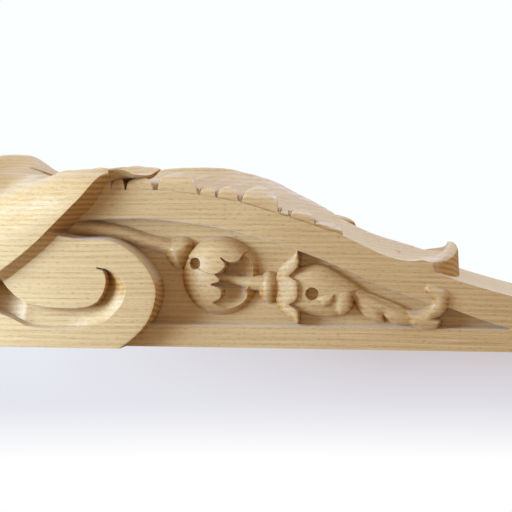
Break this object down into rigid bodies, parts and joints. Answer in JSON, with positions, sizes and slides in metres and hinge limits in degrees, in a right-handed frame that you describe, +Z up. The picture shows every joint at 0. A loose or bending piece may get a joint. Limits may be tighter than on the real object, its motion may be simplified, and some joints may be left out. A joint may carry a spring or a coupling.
{
  "type": "carved wooden corbel bracket",
  "caption": "Carved oak corbel bracket with side volutes, flower panels, a draped acanthus leaf and a long front leaf, fixed by its flat back to carry a shelf or beam.",
  "frame": {"origin": "The middle of the flat back, where the corbel meets the wall.", "axes": "+Z up, from the tail to the flat top; +Y into the wall, so the carved front faces -Y; +X across the width."},
  "size_m": [0.174, 0.134, 0.45],
  "materials": {
    "oak": "pale oak, planed and hand carved, sanded, left bare without stain or polish"
  },
  "bodies": {
    "root": {"carved_corbel": "oak"}
  },
  "joints": []
}
